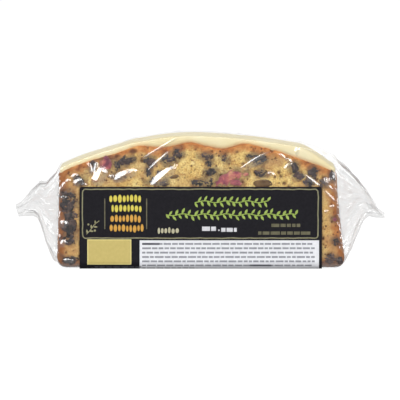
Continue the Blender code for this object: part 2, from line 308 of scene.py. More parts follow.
def scattered(rng, count, least_gap, margin, taken):
    """Places on a cut face that keep clear of each other and of those already taken."""
    places = []
    tries = 0
    while len(places) < count and tries < 60 * count:
        tries += 1
        x = rng.uniform(CAKE_LOW.x, CAKE_HIGH.x)
        z = rng.uniform(CAKE_LOW.z, CAKE_HIGH.z)
        above = hit("cake", (x, 0, 1), (0, 0, -1))
        if not above or z > above.z or skin_depth(x, z) < margin:
            continue
        if all(math.hypot(x - px, z - pz) > least_gap for px, pz in taken + places):
            places.append((x, z))
    return places


def back_fruit(rng):
    """Sizes and places of the fruit on the back cut face, by kind."""
    taken = []
    chosen = {}
    sizes = {"cherry": (4.0, 10.0, 7.0), "peel": (3.0, 7.0, 4.0), "raisin": (2.6, 9.0, 3.4)}
    for kind in ("cherry", "peel", "raisin"):
        low, high, gap = sizes[kind]
        places = scattered(rng, BACK_COUNTS[kind], gap * MM, 3.0 * MM, taken)
        taken += places
        chosen[kind] = [(x / MM, z / MM, size, size * rng.uniform(0.5, 0.9), rng.uniform(-60, 60))
                        for x, z in places for size in [rng.uniform(low, high)]]
    return chosen


BACK_FRUIT = back_fruit(random.Random(11))


def pores(rng, count):
    """Bubbles cut open on a face: x, z, radius and depth."""
    return [(x, z, radius, radius * rng.uniform(0.7, 1.2))
            for x, z in scattered(rng, count, 1.5 * MM, 1.0 * MM, [])
            for radius in [MM * (0.35 + 1.0 * rng.random() ** 3)]]


def stain(x, z, places, uneven, reach):
    """How strongly ovals and what soaks out of them darken a point of a cut face, from 0 to 1."""
    dark = np.zeros(len(x))
    for centre_x, centre_z, width, height, tilt in places:
        angle = math.radians(tilt)
        dx = x - centre_x * MM
        dz = z - centre_z * MM
        along = (dx * math.cos(angle) + dz * math.sin(angle)) / (width * MM / 2 + reach)
        across = (-dx * math.sin(angle) + dz * math.cos(angle)) / (height * MM / 2 + reach)
        dark = np.maximum(dark, 1 - smoothstep(0.5, 1.5, np.hypot(along, across) + 0.6 * uneven))
    return dark


def cake_mesh():
    mesh = remeshed_copy("cake", CRUMB_VOXEL, 1)
    co = coordinates(mesh)
    no = normals(mesh)
    cut_front = smoothstep(0.5, 0.9, -no[:, 1])
    cut_back = smoothstep(0.5, 0.9, no[:, 1])
    cut = cut_front + cut_back
    depth = np.array([skin_depth(x, z) for x, _, z in co])
    rough = fractal(co, 2.2 * MM, 4)
    lumps = fractal(co, 9 * MM, 2, 5.0)
    top = smoothstep(0.3, 0.8, no[:, 2])
    relief = CAKE_SWELL * (1 - top) + cut * (0.16 * rough + 0.12 * lumps) * MM
    relief += (1 - cut) * (0.25 * rough + 0.2 * lumps) * MM
    # How deep each point lies in a pore, kept so the crumb can be darkened there as painted shade
    pore_shade = np.zeros(len(co))
    for face, seed in ((cut_front, 3), (cut_back, 4)):
        for x, z, radius, deep in pores(random.Random(seed), PORES_A_FACE):
            near = (np.abs(co[:, 0] - x) < 1.5 * radius) & (np.abs(co[:, 2] - z) < 1.5 * radius) & (face > 0.5)
            away = np.hypot(co[near, 0] - x, co[near, 2] - z) / radius
            sunk = 1 - smoothstep(0.5, 1.1, away + 0.25 * rough[near])
            relief[near] -= deep * sunk
            pore_shade[near] = np.maximum(pore_shade[near], sunk)
    uneven = fractal(co, 5 * MM, 3, 9.0)
    juice = cut_front * stain(co[:, 0], co[:, 2], RAISINS + CHERRIES, uneven, STAIN_REACH)
    rear = BACK_FRUIT["raisin"] + BACK_FRUIT["cherry"]
    juice += cut_back * stain(co[:, 0], co[:, 2], rear, uneven, STAIN_REACH)
    # The listed holes get only that painted shade, with no hollow
    pore_shade = np.maximum(pore_shade, cut_front * stain(co[:, 0], co[:, 2], SHADED_HOLES, uneven, 0))
    set_coordinates(mesh, co + no * relief[:, None])
    to_end = np.minimum(co[:, 0] - CAKE_LOW.x, CAKE_HIGH.x - co[:, 0])
    store(mesh, "skin", np.where(cut > 0.5, depth, 0) / (10 * MM))
    store(mesh, "end", to_end / (30 * MM))
    store(mesh, "pore_shade", pore_shade)
    store(mesh, "juice", juice)
    return mesh


def crumb_material():
    """Open golden crumb, browner towards the ends and the baked skin, with juice stains, and with pores and holes
    darkened as painted shade.
    """
    sh = Shader("crumb")
    golden = sh.ramp(sh.noise(150, 5, 0.65, 0.4), ((0.30, (212, 166, 90)), (0.43, (244, 210, 126)),
                                                   (0.60, (252, 228, 150)), (0.8, (255, 240, 184))))
    fine = sh.ramp(sh.noise(1300, 4, 0.7), ((0.36, (206, 174, 136)), (0.55, 1.0)))
    golden = sh.blend(1.0, golden, fine, "MULTIPLY")
    shade = sh.ramp(sh.noise(95, 4, 0.6, 0.6), ((0.48, 0.0), (0.68, 0.7)))
    golden = sh.blend(shade, golden, (190, 142, 94))
    blotch = sh.ramp(sh.noise(260, 4, 0.65, 0.8), ((0.54, 0.0), (0.68, 0.8)))
    golden = sh.blend(blotch, golden, (168, 110, 60))
    wander = sh.noise(120, 4, 0.6)
    ends = sh.add("Math", {0: wander, 1: 0.9, 2: -0.45}, operation="MULTIPLY_ADD").outputs[0]
    ends = sh.ramp(sh.math("ADD", sh.value("end"), ends), ((0.12, 1.0), (0.55, 0.0)))
    colour = sh.blend(sh.math("MULTIPLY", ends, 0.8), golden, (194, 138, 82))
    edge = sh.add("Math", {0: sh.noise(230, 5, 0.65), 1: 0.8, 2: -0.4}, operation="MULTIPLY_ADD").outputs[0]
    edge = sh.add("Math", {0: sh.noise(70, 2), 1: 0.7, 2: edge}, operation="MULTIPLY_ADD").outputs[0]
    skin = sh.math("SUBTRACT", sh.math("ADD", sh.value("skin"), edge), 0.35)
    baked = sh.ramp(sh.noise(190, 5, 0.6, 0.3), ((0.32, (134, 70, 30)), (0.44, (190, 116, 54)),
                                                 (0.58, (218, 148, 78)), (0.72, (242, 184, 112))))
    browned = sh.add("Math", {0: sh.noise(80, 3), 1: 1.2, 2: sh.value("end")}, operation="MULTIPLY_ADD").outputs[0]
    baked = sh.blend(sh.ramp(browned, ((0.58, 0.8), (1.0, 0.0))), baked, (154, 88, 26))
    colour = sh.blend(sh.ramp(skin, ((0.20, 1.0), (0.50, 0.0))), colour, baked)
    soaked = sh.ramp(sh.value("juice"), ((0.3, (140, 98, 66)), (0.95, (74, 54, 52))))
    colour = sh.blend(sh.ramp(sh.value("juice"), ((0.15, 0.0), (0.95, 0.64))), colour, soaked)
    # Painted shade: small cells, the pores and the listed holes darken the crumb to dark brown
    hole_shade = sh.ramp(sh.voronoi(400), ((0.16, 1.0), (0.32, 0.0)))
    hole_shade = sh.math("MULTIPLY", hole_shade, sh.ramp(sh.noise(240, 2), ((0.46, 0.0), (0.58, 1.0))))
    dark = sh.math("MAXIMUM", sh.value("pore_shade"), hole_shade)
    colour = sh.blend(sh.math("MULTIPLY", dark, 0.9), colour, (96, 50, 24))
    height = sh.math("SUBTRACT", sh.noise(1400, 4, 0.6), dark)
    return sh.principled(Base_Color=colour, Roughness=0.75, Normal=sh.bump(height, 0.5, 0.3 * MM))


def cake():
    obj = add_object("fruit_cake", cake_mesh(), crumb_material())
    return piece(obj, "crumb", "cake")


# ---------------------------------------------------------------- fruit in the cake

def fruit_lump(rng, x, z, width, height, tilt, face_y, side, wrinkle, proud):
    """Points and faces of one piece of fruit, cut flush with a face of the slab."""
    bm = bmesh.new()
    bmesh.ops.create_icosphere(bm, subdivisions=3, radius=1.0)
    seed = Vector((rng.uniform(-50, 50), rng.uniform(-50, 50), rng.uniform(-50, 50)))
    turn = Matrix.Rotation(math.radians(-tilt), 3, "Y")
    depth = 0.45 * (width + height) / 2
    points = []
    rims = []
    for vert in bm.verts:
        direction = vert.co.normalized()
        uneven = 0.42 * noise.noise(direction * 1.4 + seed) + 0.15 * noise.noise(direction * 4 + seed)
        uneven += 0.14 * noise.noise(direction * 7 - seed)
        bulge = 1 + uneven * (0.3 + 0.7 * wrinkle)
        fold = wrinkle * (1 - abs(noise.noise(direction * 3.2 - seed)) * 2)
        local = direction * (bulge - fold * 0.16)
        local = turn @ Vector((local.x * width / 2, local.y * depth, local.z * height / 2)) * MM
        y = face_y + side * (0.25 * depth * MM) + local.y
        rim = max(0.0, math.hypot(direction.x, direction.z) - 0.72) / 0.28
        limit = proud * (0.65 + 1.1 * noise.noise(direction * 2.5 + seed) - 0.6 * fold * wrinkle - 0.6 * rim)
        outward = side * y - side * face_y
        if outward > limit:
            y = face_y + side * limit
        points.append((x * MM + local.x, y, z * MM + local.z))
        rims.append(rim)
    faces = [[vert.index for vert in face.verts] for face in bm.faces]
    bm.free()
    return points, faces, rims


def with_scraps(fruit, rng, most):
    """Each piece of fruit with a few smaller lumps that overlap it, so that its outline is uneven."""
    result = []
    for x, z, width, height, tilt in fruit:
        result.append((x, z, width, height, tilt))
        for _ in range(rng.randint(most // 2, most)):
            angle = rng.uniform(0, 2 * math.pi)
            reach = rng.uniform(0.3, 0.46)
            size = rng.uniform(0.35, 0.65)
            result.append((x + reach * width * math.cos(angle), z + reach * height * math.sin(angle),
                           width * size, height * size * rng.uniform(0.8, 1.3), rng.uniform(-60, 60)))
    return result


def fruit_piece(name, front, back, mat, seed, wrinkle, proud, scraps):
    """All the fruit of one kind, on both cut faces, as one mesh."""
    rng = random.Random(seed)
    points = []
    faces = []
    rims = []
    tones = []
    for fruit, face_y, side in ((front, FRONT_Y, -1), (back, BACK_Y, 1)):
        for x, z, width, height, tilt in with_scraps(fruit, rng, scraps):
            more, polygons, edge = fruit_lump(rng, x, z, width, height, tilt, face_y, side, wrinkle, proud)
            faces += [[index + len(points) for index in polygon] for polygon in polygons]
            points += more
            rims += edge
            tones += [rng.random()] * len(more)
    mesh = mesh_from(name, points, faces)
    store(mesh, "rim", rims)
    store(mesh, "tone", tones)
    return piece(add_object(name, mesh, mat), "crumb")


def raisin_material():
    sh = Shader("raisin")
    colour = sh.ramp(sh.noise(420, 5, 0.65, 0.8), ((0.30, (8, 6, 7)), (0.47, (28, 20, 21)),
                                                   (0.60, (70, 52, 48)), (0.75, (126, 102, 92))))
    tone = sh.ramp(sh.value("tone"), ((0.55, 0.0), (1.0, 0.5)))
    colour = sh.blend(tone, colour, (116, 84, 74))
    # Grey-lilac patches: painted sheen, standing in for glare on the cut fruit
    painted_sheen = sh.ramp(sh.noise(170, 3), ((0.52, 0.0), (0.72, 0.3)))
    colour = sh.blend(painted_sheen, colour, (122, 106, 112))
    colour = sh.blend(sh.math("MULTIPLY", sh.value("rim"), 0.45), colour, (84, 60, 50))
    return sh.principled(Base_Color=colour, Roughness=0.42, Coat_Weight=0.3, Coat_Roughness=0.15,
                         Normal=sh.bump(sh.noise(900, 4, 0.6, 1.0), 0.6, 0.5 * MM))


def cherry_material():
    sh = Shader("cherry")
    colour = sh.ramp(sh.noise(190, 3, 0.5, 0.5), ((0.34, (116, 54, 74)), (0.47, (166, 80, 94)),
                                                  (0.56, (200, 112, 106)), (0.68, (226, 164, 124))))
    colour = sh.blend(sh.math("MULTIPLY", sh.value("rim"), 0.7), colour, (150, 92, 80))
    return sh.principled(Base_Color=colour, Roughness=0.4, Coat_Weight=0.2,
                         Normal=sh.bump(sh.noise(700, 3), 0.4, 0.4 * MM))


def peel_material():
    sh = Shader("peel")
    colour = sh.ramp(sh.noise(260, 3), ((0.3, (84, 58, 28)), (0.55, (112, 80, 40)), (0.75, (138, 104, 56))))
    colour = sh.blend(sh.math("MULTIPLY", sh.value("rim"), 0.5), colour, (92, 62, 26))
    return sh.principled(Base_Color=colour, Roughness=0.4, Coat_Weight=0.3,
                         Normal=sh.bump(sh.noise(700, 3), 0.4, 0.3 * MM))


def fruit():
    fruit_piece("raisins", RAISINS, BACK_FRUIT["raisin"], raisin_material(), 21, 1.0, 0.3 * MM, 3)
    fruit_piece("cherries", CHERRIES, BACK_FRUIT["cherry"], cherry_material(), 22, 0.7, 0.25 * MM, 3)
    fruit_piece("peel_and_nuts", PEEL, BACK_FRUIT["peel"], peel_material(), 23, 0.0, 0.35 * MM, 0)


# ---------------------------------------------------------------- the marzipan

def icing_drop(x):
    """How far the icing's foot hangs over the crust: more down both flanks than in the middle."""
    flank = 0.5 * smoothstep(24 * MM, 40 * MM, x) + (1 - smoothstep(-44 * MM, -30 * MM, x))
    ragged = 1 + 0.5 * noise.noise(Vector((x, 0, 0)) / (3.5 * MM))
    return ICING_OVERHANG * (0.15 + 0.85 * flank) * ragged


def icing_mesh():
    mesh = remeshed_copy("marzipan", ICING_VOXEL, 6)
    co = coordinates(mesh)
    no = normals(mesh)
    soft = fractal(co, 14 * MM, 2)
    grain = fractal(co, 2.5 * MM, 2, 3.0)
    below = smoothstep(0.2, 0.8, -no[:, 2])
    swell = CAKE_SWELL + (0.15 * soft + 0.05 * grain) * MM - below * (CAKE_SWELL - ICING_SINK)
    drop = np.array([icing_drop(x) for x in co[:, 0]])
    height = []
    for (x, _, z), low in zip(co, drop * (1 - below)):
        crumb = hit("cake", (x, 0, 1), (0, 0, -1))
        height.append((z - crumb.z + low) / (6 * MM) if crumb else 0)
    moved = co + no * swell[:, None]
    moved[:, 2] -= below * drop
    set_coordinates(mesh, moved)
    store(mesh, "height", np.clip(height, 0, 1))
    return mesh


def marzipan_material():
    """Smooth cream almond paste, a little peach where it meets the crust."""
    sh = Shader("marzipan")
    base = sh.ramp(sh.noise(60, 2), ((0.35, (248, 232, 180)), (0.65, (252, 240, 198))))
    wander = sh.add("Math", {0: sh.noise(170, 4, 0.6), 1: 0.3, 2: -0.15}, operation="MULTIPLY_ADD").outputs[0]
    height = sh.math("ADD", sh.value("height"), wander)
    colour = sh.blend(sh.ramp(height, ((0.02, 1.0), (0.42, 0.0))), base, (244, 204, 146))
    colour = sh.blend(sh.ramp(height, ((0.00, 1.0), (0.14, 0.0))), colour, (218, 156, 96))
    return sh.principled(Base_Color=colour, Roughness=0.5, Normal=sh.bump(sh.noise(1500, 3), 0.15, 0.2 * MM))


def marzipan():
    obj = add_object("marzipan_icing", icing_mesh(), marzipan_material())
    return piece(obj, "marzipan", "marzipan")


# ---------------------------------------------------------------- the film

FILM_STEP = 0.46 * MM
WALL_POINTS = (30, 112, 16, 38)       # top, front, base and back
CORNER_POINTS = 4
UPPER_CORNER = 1.8 * MM
LOWER_CORNER = 3.9 * MM
GUSSET = 15.0 * MM                    # how far each side tucks in at the tails
TURN_START = 1.5 * MM                 # the film turns in this far before the cake's ends
TURN_SOFTNESS = 0.14
FOLD_WIDTH = 7.0 * MM
FOLD_DEPTH = 2.2 * MM
CRUMPLE_WIDTH = 8.0 * MM
FILM_SLACK = 0.4 * MM                 # how far the film stands off the top of the icing
MIDDLE_Y = (BAG_LOW.y + BAG_HIGH.y) / 2
HALF_DEPTH = (BAG_HIGH.y - BAG_LOW.y) / 2
TAIL_HALF_WIDTH = 26.5 * MM
TAIL_SKEW = {-1: -1.4 * MM, 1: -3.0 * MM}     # how far the back corner of a tail lies along X from its middle
TAIL_TILT = {-1: 0.9 * MM, 1: 1.2 * MM}       # and how far above it
LOWER_SAG = {-1: 3.2 * MM, 1: 1.2 * MM}
UPPER_SAG = {-1: 3.0 * MM, 1: 1.8 * MM}
UPPER_SAG_END = {-1: 0.5, 1: 0.95}
TAIL_RISE = {-1: 1.6 * MM, 1: 0.4 * MM}
TAIL_END = {-1: BAG_LOW.x + 1.5 * MM, 1: BAG_HIGH.x - 3.1 * MM}

# Creases in the film over the front cut face, in mm: from x, z to x, z, half width
FRONT_CREASES = (
    (-77.1, 43.5, -73.8, 48.5, 0.8), (-73.8, 48.5, -71.0, 49.4, 0.8), (-70.8, 50.6, -67.2, 52.4, 1.0),
    (-69.6, 46.6, -65.0, 50.0, 1.2), (-65.6, 47.6, -62.2, 45.9, 0.8), (-61.4, 59.6, -59.0, 51.0, 0.8),
    (-56.4, 60.0, -58.4, 50.6, 0.8), (-53.0, 57.0, -57.6, 45.4, 2.2), (-49.8, 52.0, -46.6, 49.8, 1.0),
    (-48.0, 48.8, -34.2, 54.8, 1.8), (-28.9, 54.0, -15.1, 66.2, 0.8), (-32.8, 60.2, -9.6, 74.2, 0.7),
    (-26.8, 45.6, -12.6, 56.8, 1.9), (-12.6, 58.6, -14.2, 54.0, 0.7),
    (22.0, 54.9, 39.6, 65.6, 0.95), (24.4, 54.4, 38.8, 61.6, 0.7), (44.2, 64.0, 47.5, 61.2, 0.8),
    (47.5, 61.2, 51.4, 59.0, 0.9), (51.4, 59.0, 47.0, 55.1, 0.9), (38.1, 53.5, 42.0, 51.8, 0.9),
    (56.9, 52.9, 68.0, 44.6, 0.8), (68.0, 44.6, 76.3, 36.3, 0.65), (66.4, 50.4, 78.0, 40.4, 0.7),
    (69.7, 51.2, 71.0, 45.4, 0.8), (73.4, 51.4, 71.0, 45.4, 0.8), (72.8, 35.4, 74.4, 33.9, 0.9),
    (69.6, 32.4, 71.0, 31.4, 0.8), (77.2, 11.4, 80.0, 12.6, 0.7), (-77.8, 25.2, -72.7, 24.8, 1.4),
    (-76.9, 12.2, -74.3, 16.2, 1.2), (-75.4, 4.7, -69.5, 4.4, 1.0), (-78.6, 39.4, -73.4, 39.9, 0.8),
    (54.6, 69.0, 53.9, 62.3, 0.8), (-77.6, 48.0, -78.0, 34.4, 0.9), (-78.0, 35.6, -77.8, 22.0, 0.9),
    (-78.0, 23.0, -78.6, 8.0, 0.9), (74.6, 54.4, 76.4, 38.2, 0.9), (76.2, 40.4, 78.2, 25.0, 0.9),
    (78.0, 27.0, 80.2, 8.0, 0.9),
)
CREASE_STEEPNESS = 0.33
CREASE_SPREAD = 2.0


def wall_heights(x):
    """Lowest and highest point of the bag's middle at x."""
    top = hit("bag", (x, MIDDLE_Y, 1), (0, 0, -1))
    base = hit("bag", (x, MIDDLE_Y, -1), (0, 0, 1))
    return base.z, top.z


def wing_sag(side, past_foot, past_top):
    """How far the film hangs below the bag's base and top lines past the cake's ends, before the tail rises."""
    foot = LOWER_SAG[side] * smoothstep(0.0, 0.12, past_foot) * (1 - smoothstep(0.26, 0.44, past_foot))
    top = UPPER_SAG[side] * smoothstep(0.0, 0.12, past_top) * (1 - smoothstep(UPPER_SAG_END[side] - 0.2,
                                                                         UPPER_SAG_END[side], past_top))
    return (foot - TAIL_RISE[side] * smoothstep(0.35, 0.6, past_foot),
            top - TAIL_RISE[side] * smoothstep(0.35, 0.6, past_top))


def slab_end(side, z):
    """X of the cake's end at a height, for the left (-1) or the right (1)."""
    start = 1.0 * side
    level = min(max(z, CAKE_LOW.z + 5 * MM), ICING_LOW.z - 1 * MM)
    point = hit("cake", (start, MIDDLE_Y, level), (-side, 0, 0))
    return point.x


def film_ring():
    """Round a section: place on its square, the way it faces, and how far round it is in mm of slab."""
    ring = []
    corners = ((1, 1), (-1, 1), (-1, -1), (1, -1))
    lengths = (54.0, 72.0, 54.0, 72.0)
    done = 0.0
    for index, (across, up) in enumerate(corners):
        next_across, next_up = corners[(index + 1) % 4]
        for i in range(CORNER_POINTS + 1):
            angle = math.pi / 2 * (index + i / CORNER_POINTS)
            ring.append((across, up, math.cos(angle), math.sin(angle), done + 3.0 * i / CORNER_POINTS))
        for i in range(1, WALL_POINTS[index]):
            part = i / WALL_POINTS[index]
            if index == 1:
                part = part ** 1.35
            ring.append((across + (next_across - across) * part, up + (next_up - up) * part,
                         math.cos(angle), math.sin(angle), done + 3.0 + lengths[index] * part))
        done += 3.0 + lengths[index]
    return [(a, u, ny, nz, 2 * math.pi * w / done) for a, u, ny, nz, w in ring]


def fold(round_angle, x, width, seed):
    """Sharp-crested folds that run along the pack, from 0 in a furrow to 1 on a crest."""
    radius = 252 * MM / (2 * math.pi) / width
    place = Vector((radius * math.cos(round_angle), radius * math.sin(round_angle), x / (4 * width) + seed))
    return 1 - min(1.0, 2.2 * abs(noise.noise(place)))


def film_section(x, ring):
    """Points of one section of the film, with how creased each one is."""
    side = -1 if x < 0 else 1
    tail = TAIL_END[side]
    base, top = wall_heights(x)
    ends = [slab_end(side, z) for z in np.linspace(base, top, 12)]
    past_foot, past_top = (max(0.0, side * (x - end)) / abs(tail - end) for end in (ends[0], ends[-1]))
    foot_sag, top_sag = wing_sag(side, past_foot, past_top)
    base -= foot_sag
    top -= top_sag
    half_height = max((top - base) / 2, 0.25 * MM)
    result = []
    for across, up, normal_y, normal_z, round_angle in ring:
        level = base + half_height * (1 + up)
        end = ends[min(11, int(6 * (1 + up)))]
        past = max(0.0, side * (x - end) + TURN_START)
        along = min(1.0, past / abs(tail - end))
        radius = min(UPPER_CORNER if up > 0 else LOWER_CORNER, 0.9 * half_height)
        half_width = HALF_DEPTH + (TAIL_HALF_WIDTH - HALF_DEPTH) * along
        looseness = FILM_SLACK * max(0.0, up)
        tuck = GUSSET * (math.sqrt(along ** 2 + TURN_SOFTNESS ** 2) - TURN_SOFTNESS)
        crest = fold(round_angle, x, FOLD_WIDTH, 3.0 + side)
        small = fold(round_angle, x, FOLD_WIDTH / 2.6, 9.0 + side)
        depth = FOLD_DEPTH * min(1.0, 3.2 * along) * min(1.0, half_height / (9 * MM))
        crumple = 1 - 2.2 * abs(noise.noise(Vector((x, across * 0.02, level * 1.2)) / CRUMPLE_WIDTH))
        ripple = depth * (0.8 * crest + 0.18 * small + 0.45 * crumple - 0.75)
        y = across * (half_width - radius) + normal_y * (radius + ripple)
        y -= normal_y * tuck * (1 - up ** 2)
        z = base + half_height + up * (half_height - radius) + normal_z * (radius + ripple) + looseness
        lean = along ** 2 * y / TAIL_HALF_WIDTH
        result.append((x + TAIL_SKEW[side] * lean, MIDDLE_Y + y, z + TAIL_TILT[side] * lean, along,
                       crest ** 6, small ** 6))
    return result


def crease_lift(x, z, creases):
    """How far creases lift the film off a cut face, and how near their crests each point is."""
    lift = np.zeros(len(x))
    for x1, z1, x2, z2, width in creases:
        run = np.array([x2 - x1, z2 - z1]) * MM
        width = CREASE_SPREAD * width
        length = np.hypot(*run)
        run /= length
        dx = x - x1 * MM
        dz = z - z1 * MM
        along = (dx * run[0] + dz * run[1]) / length
        away = np.abs(-dx * run[1] + dz * run[0])
        taper = np.sqrt(np.clip(4 * along * (1 - along), 0, 1))
        lift = np.maximum(lift, CREASE_STEEPNESS * np.clip(width * MM * taper - away, 0, None))
    return lift


def random_creases(rng, count, low, high):
    """Creases at random over a rectangle of a cut face."""
    creases = []
    for _ in range(count):
        x = rng.uniform(low[0], high[0])
        z = rng.uniform(low[1], high[1])
        angle = rng.uniform(0, math.pi)
        length = rng.uniform(4, 20)
        creases.append((x, z, x + length * math.cos(angle), z + length * math.sin(angle), rng.uniform(0.7, 1.5)))
    return creases


def film_stations():
    left_end = CAKE_LOW.x
    right_end = CAKE_HIGH.x
    count = round((right_end - left_end) / FILM_STEP)
    slab = np.linspace(left_end, right_end, count)
    left = np.linspace(TAIL_END[-1], left_end, 46)[:-1]
    right = np.linspace(right_end, TAIL_END[1], 44)[1:]
    return np.concatenate([left, slab, right])


def film_mesh():
    ring = film_ring()
    count = len(ring)
    data = np.array([film_section(x, ring) for x in film_stations()]).reshape(-1, 6)
    points, along, crest, small = data[:, :3], data[:, 3], data[:, 4], data[:, 5]
    x, z = points[:, 0], points[:, 2]
    facing = np.array([entry[2] for entry in ring])
    upward = np.array([entry[3] for entry in ring])
    rows = len(points) // count
    front = np.tile(facing < -0.99, rows) & (along < 0.25)
    back = np.tile(facing > 0.99, rows) & (along < 0.25)
    top = np.tile(upward > 0.99, rows)
    under_label = (x > LABEL_LOW.x - 1 * MM) & (x < LABEL_HIGH.x + 1 * MM) & (z < LABEL_HIGH.z + 0.5 * MM)
    lift = crease_lift(x, z, FRONT_CREASES) * (front & ~under_label)
    rear = random_creases(random.Random(5), 46, (-74, 4), (70, 66))
    lift += crease_lift(x, z, rear) * back
    above = random_creases(random.Random(6), 20, (-70, -24), (66, 24))
    lift += 0.35 * crease_lift(x, points[:, 1], above) * top
    points[:, 1] += lift * np.tile(facing, rows)
    points[:, 2] += lift * np.tile(upward, rows)
    soft = fractal(points, 12 * MM, 2, 8.0) * 0.06 * MM
    points[:, 1] += soft * np.tile(facing, rows)
    faces = [(row * count + i, row * count + (i + 1) % count, (row + 1) * count + (i + 1) % count,
              (row + 1) * count + i) for row in range(rows - 1) for i in range(count)]
    faces += [range(count), range((rows - 1) * count, rows * count)]
    mesh = mesh_from("film", points, faces)
    wing = smoothstep(0.0, 0.15, along)
    haze_and_foot_shade = wing * (0.35 * crest + 0.25 * small) + 0.7 * smoothstep(0.05 * MM, 0.35 * MM, lift)
    # Painted shade: along its foot the film is made milky and more mirroring, standing in for the shadowed floor under
    # the cake
    haze_and_foot_shade += 1.4 * (1 - smoothstep(1.4 * MM, 4.0 * MM, z))
    store(mesh, "crease_and_foot_shade", np.clip(haze_and_foot_shade, 0, 2))
    store(mesh, "wing", wing)
    store(mesh, "lying", np.tile(np.clip(upward, 0, 1), rows) * (1 - wing))
    return mesh


def film_material():
    """Clear film: it mirrors more at a slant, and folds and creases make it faintly white; along its foot a milky band
    is painted shade under the cake.
    """
    sh = Shader("clear_film")
    facing = sh.add("LayerWeight", {"Blend": 0.5}).outputs["Facing"]
    slant = sh.math("POWER", facing, 6.0)
    free = sh.add("Math", {0: sh.value("lying"), 1: -0.65, 2: 1.0}, operation="MULTIPLY_ADD").outputs[0]
    free = sh.add("Math", {0: sh.value("wing"), 1: -0.5, 2: free}, operation="MULTIPLY_ADD").outputs[0]
    slant = sh.math("MULTIPLY", slant, free)
    mirror = sh.add("Math", {0: slant, 1: 0.34, 2: 0.07}, operation="MULTIPLY_ADD").outputs[0]
    mirror = sh.add("Math", {0: sh.value("crease_and_foot_shade"), 1: 0.2, 2: mirror}, operation="MULTIPLY_ADD").outputs[0]
    crinkle = sh.bump(sh.noise(160, 4, 0.6, 1.5), 0.1, 0.8 * MM)
    # Milky white mixed in on creases and wings, and along the foot as painted shade
    haze_and_foot_shade = sh.add("Math", {0: sh.value("crease_and_foot_shade"), 1: 0.09, 2: 0.006}, operation="MULTIPLY_ADD").outputs[0]
    haze_and_foot_shade = sh.add("Math", {0: sh.value("wing"), 1: 0.06, 2: haze_and_foot_shade}, operation="MULTIPLY_ADD").outputs[0]
    clear = sh.add("BsdfTransparent", {"Color": sh.ramp(sh.value("wing"), ((0.0, 0.972), (1.0, 0.945)))})
    white = sh.add("BsdfDiffuse", {"Color": rgba(0.9)})
    body = sh.add("MixShader", {0: haze_and_foot_shade, 1: clear.outputs[0], 2: white.outputs[0]})
    dull = sh.add("Math", {0: sh.value("lying"), 1: 0.28, 2: 0.07}, operation="MULTIPLY_ADD").outputs[0]
    dull = sh.add("Math", {0: sh.value("wing"), 1: 0.08, 2: dull}, operation="MULTIPLY_ADD").outputs[0]
    gloss = sh.add("BsdfAnisotropic", {"Color": rgba(1.0), "Roughness": dull, "Normal": crinkle})
    mix = sh.add("MixShader", {0: mirror, 1: body.outputs[0], 2: gloss.outputs[0]})
    return sh.surface(mix.outputs[0])


def film():
    obj = add_object("clear_film", film_mesh(), film_material())
    return piece(obj, "film", "bag")


# ---------------------------------------------------------------- the label

LABEL_BEND = 4.6 * MM
LABEL_SHEET = 0.15 * MM
PRINT_LIFT = 0.03 * MM


def on_label(x, s, lift=0.0):
    """A point of the label: s runs up the front from the foot of the bend, and back under the base below 0."""
    quarter = LABEL_BEND * math.pi / 2
    if s > LABEL_BEND:
        return (x, LABEL_LOW.y - lift, s)
    past = LABEL_BEND - s
    if past < quarter:
        angle = past / LABEL_BEND
        radius = LABEL_BEND + lift
        return (x, LABEL_LOW.y + LABEL_BEND - radius * math.cos(angle), LABEL_BEND - radius * math.sin(angle))
    return (x, LABEL_LOW.y + LABEL_BEND + past - quarter, -lift)


def label_length():
    """How far s runs below 0 before the label's rear edge."""
    return LABEL_BEND * (math.pi / 2 - 1) + (LABEL_HIGH.y - LABEL_LOW.y - LABEL_BEND)


LABEL_CORNER = 1.5 * MM


def label_inset(s):
    """How far a rounded corner brings in the label's ends at s."""
    near = max(0.0, LABEL_CORNER - min(LABEL_HIGH.z - s, s + label_length()))
    return LABEL_CORNER - math.sqrt(LABEL_CORNER ** 2 - near ** 2)


def label_rows():
    """Values of s from the label's top edge to its rear one, close together where it bends."""
    top = LABEL_HIGH.z
    corner = [top - LABEL_CORNER * (1 - math.cos(math.pi / 2 * i / 5)) for i in range(6)]
    front = list(np.linspace(corner[-1], LABEL_BEND, 30))[1:]
    bend = list(np.linspace(LABEL_BEND, -LABEL_BEND * (math.pi / 2 - 1), 16))[1:]
    base = list(np.linspace(bend[-1], -label_length() + LABEL_CORNER, 24))[1:]
    rear = [-label_length() + LABEL_CORNER * (1 - math.sin(math.pi / 2 * i / 5)) for i in range(1, 6)]
    return corner + front + bend + base + rear


def label_sheet():
    columns = 100
    points = []
    rows = label_rows()
    for s in rows:
        inset = label_inset(s)
        points += [on_label(x, s) for x in np.linspace(LABEL_LOW.x + inset, LABEL_HIGH.x - inset, columns)]
    faces = [(row * columns + i, row * columns + i + 1, (row + 1) * columns + i + 1, (row + 1) * columns + i)
             for row in range(len(rows) - 1) for i in range(columns - 1)]
    obj = add_object("label_sheet", mesh_from("label_sheet", points, faces), label_material())
    return piece(obj, "label_print", "label")


def label_material():
    sh = Shader("label_black")
    colour = sh.ramp(sh.noise(700, 3), ((0.3, (27, 26, 31)), (0.7, (33, 32, 37))))
    return sh.principled(Base_Color=colour, Roughness=0.45, Specular_IOR_Level=0.12,
                         Normal=sh.bump(sh.noise(300, 2), 0.08, 0.3 * MM))


def ink_material(name, dark, light):
    """Printed ink: even, with the faint mottle of a paper label."""
    sh = Shader(name)
    colour = sh.ramp(sh.noise(500, 3, 0.6), ((0.3, dark), (0.7, light)))
    return sh.principled(Base_Color=colour, Roughness=0.42, Specular_IOR_Level=0.25,
                         Normal=sh.bump(sh.noise(300, 2), 0.08, 0.3 * MM))


